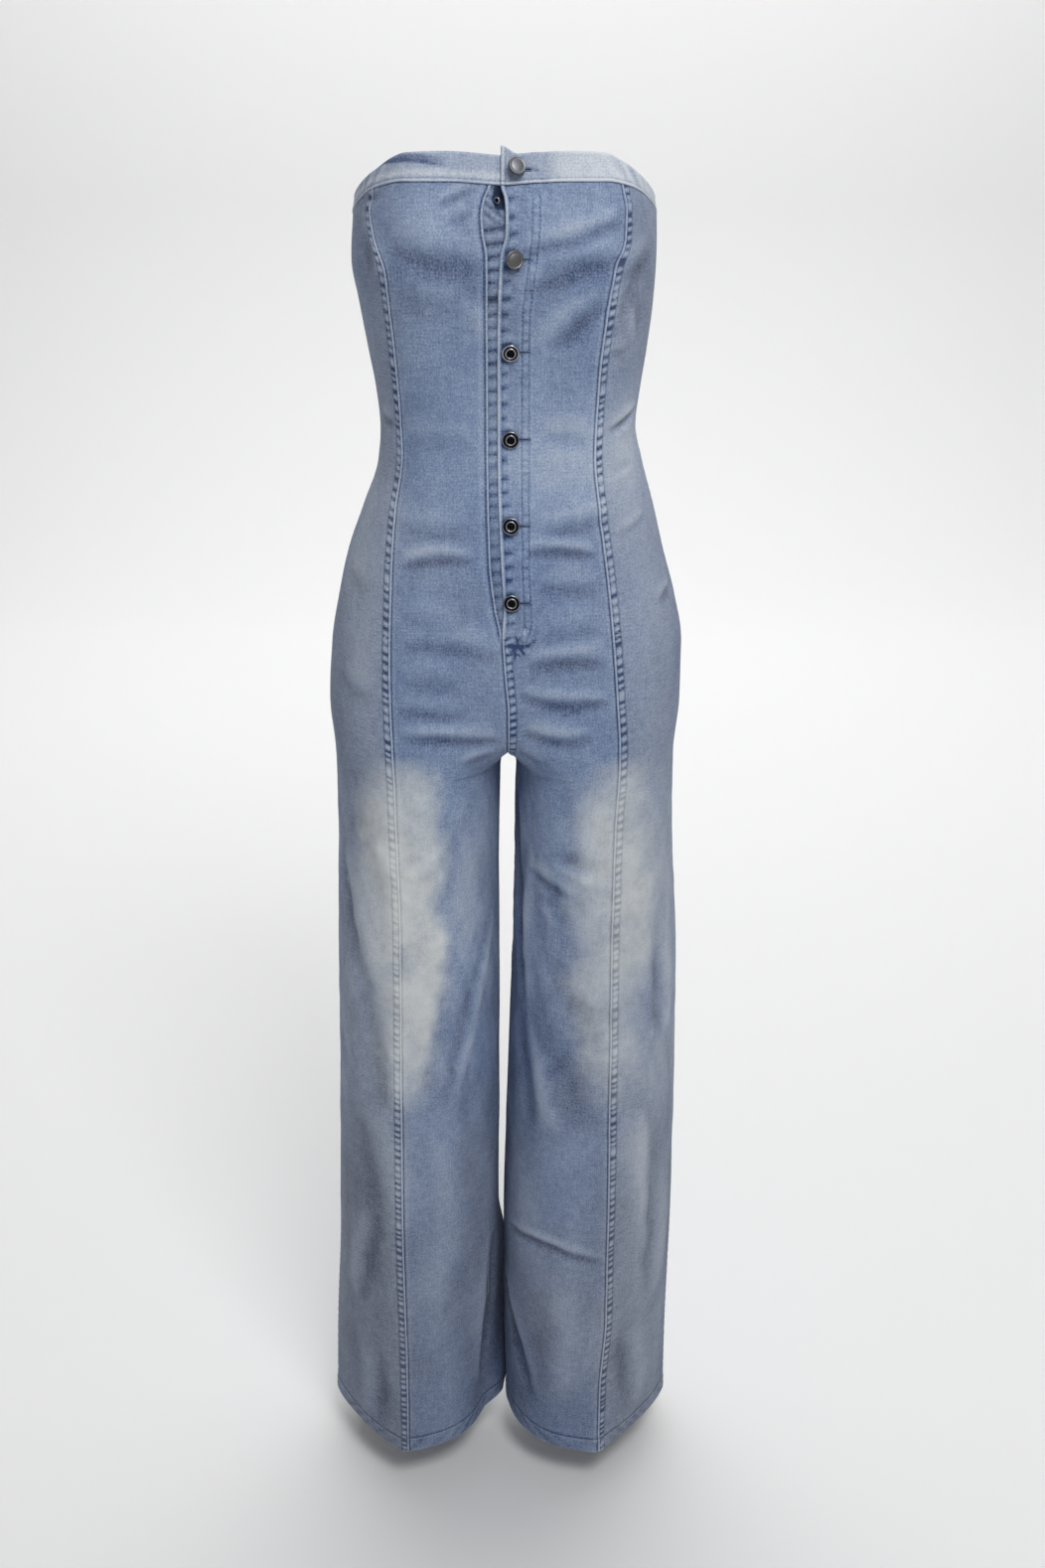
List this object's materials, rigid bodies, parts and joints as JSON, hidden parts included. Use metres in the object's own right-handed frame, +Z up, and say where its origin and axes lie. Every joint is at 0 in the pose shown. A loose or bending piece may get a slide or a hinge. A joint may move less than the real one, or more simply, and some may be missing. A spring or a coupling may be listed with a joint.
{
  "type": "strapless denim jumpsuit",
  "caption": "Strapless wide-leg denim jumpsuit with princess seams and a buttoned centre front, hollow in its worn pose.",
  "frame": {"origin": "on the body's centre line, level with the seam between the top band and the front panels at the centre front, where the band holds the garment up", "axes": "+Z up the body, the front faces -Y, the wearer's left is +X"},
  "size_m": [0.3769, 0.2476, 1.3424],
  "materials": {
    "denim": "washed stretch denim",
    "denim_band": "washed stretch denim, paler",
    "button_metal": "dark, satin",
    "button_silver": "bright, satin"
  },
  "bodies": {
    "root": {"front_centre_right_bodice": "denim", "front_centre_right_hips": "denim", "front_centre_right_leg": "denim", "front_centre_right_hem": "denim", "front_centre_left_bodice": "denim", "front_centre_left_hips": "denim", "front_centre_left_leg": "denim", "front_centre_left_hem": "denim", "front_side_right_bodice": "denim", "front_side_right_hips": "denim", "front_side_right_leg": "denim", "front_side_right_hem": "denim", "front_side_left_bodice": "denim", "front_side_left_hips": "denim", "front_side_left_leg": "denim", "front_side_left_hem": "denim", "back_right_bodice": "denim", "back_right_hips": "denim", "back_right_leg": "denim", "back_right_hem": "denim", "back_left_bodice": "denim", "back_left_hips": "denim", "back_left_leg": "denim", "back_left_hem": "denim", "button_stand": "denim", "band_right": "denim_band", "band_left": "denim_band", "button_1": "button_silver", "button_2": "button_silver", "button_3": "button_metal", "button_4": "button_metal", "button_5": "button_metal", "button_6": "button_metal", "fly_stud": "button_silver"}
  },
  "joints": []
}
